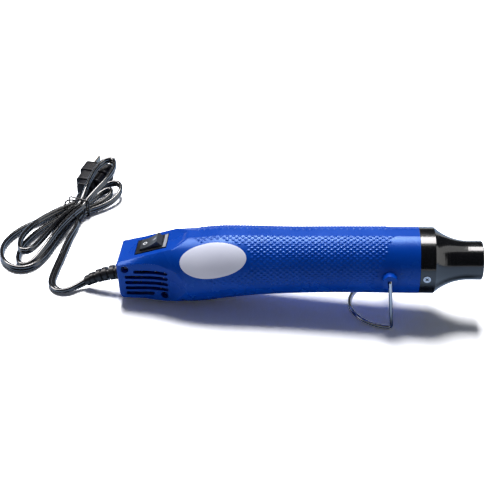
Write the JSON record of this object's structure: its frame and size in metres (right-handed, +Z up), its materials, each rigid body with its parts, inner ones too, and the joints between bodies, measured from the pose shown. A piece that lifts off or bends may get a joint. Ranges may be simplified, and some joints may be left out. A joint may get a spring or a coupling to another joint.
{
  "type": "embossing heat tool",
  "caption": "Hand-held embossing heat tool with a tapered round casing, rear deck with rocker switch, vented sides, flared nozzle, wire stand and tied mains cord.",
  "frame": {"origin": "on the ground plane, under the middle of the tool's length, on its middle plane", "axes": "+X along the tool from its back to its nozzle, level with the ground; +Y to the tool's right-hand side, away from the label; +Z up"},
  "size_m": [0.3268, 0.1838, 0.0596],
  "materials": {
    "blue_plastic": "fine satin moulding, deep blue",
    "black_gloss": "polished black",
    "black_plastic": "plain black moulding",
    "duct_plastic": "heat-proof off-white",
    "fan_plastic": "dark grey moulding",
    "steel_tube": "drawn steel",
    "motor_can": "plated steel",
    "screw_steel": "zinc plated",
    "cutoff_can": "plain aluminium",
    "chrome_wire": "bright plated wire",
    "brass_blade": "plain brass",
    "heating_wire": "resistance wire",
    "mica": "pressed mica sheet",
    "circuit_board": "green board",
    "lead_jacket": "red insulation",
    "silver_label": "silver film",
    "cord_jacket": "soft black jacket",
    "tie_plastic": "black coated wire"
  },
  "bodies": {
    "tool": {"housing_left": "blue_plastic", "housing_right": "blue_plastic", "nozzle_cover": "black_gloss", "outlet_tube": "steel_tube", "mica_sleeve": "mica", "heater_frame": "mica", "heater_coil": "heating_wire", "thermal_cutoff": "cutoff_can", "air_duct": "duct_plastic", "fan_motor": "motor_can", "motor_mount": "black_plastic", "rectifier_board": "circuit_board", "switch_body": "black_plastic", "switch_terminals": "brass_blade", "housing_screws": "screw_steel", "nozzle_screws": "screw_steel", "rating_label": "silver_label", "inner_leads": "lead_jacket", "cord_clamp": "black_plastic", "strain_relief": "cord_jacket", "cord_lead": "cord_jacket", "cord_hank": "cord_jacket", "cord_tie": "tie_plastic", "plug_body": "cord_jacket", "plug_blades": "brass_blade"},
    "rocker": {"switch_rocker": "black_gloss"},
    "stand": {"stand_wire": "chrome_wire"},
    "fan": {"fan_impeller": "fan_plastic", "motor_shaft": "motor_can"}
  },
  "joints": [
    {"name": "rocker_tilt", "type": "hinge", "parent": "tool", "child": "rocker", "pos_m": [-0.09377, 0, 0.03698], "axis": [0, 1, 0], "range_deg": [0, 24]},
    {"name": "stand_fold", "type": "hinge", "parent": "tool", "child": "stand", "pos_m": [0.05719, 0, 0.03675], "axis": [0, -1, 0], "range_deg": [0, 86]},
    {"name": "fan_spin", "type": "hinge", "parent": "tool", "child": "fan", "pos_m": [-0.01098, 0, 0.03247], "axis": [0.998, 0, 0.0628], "continuous": true}
  ]
}
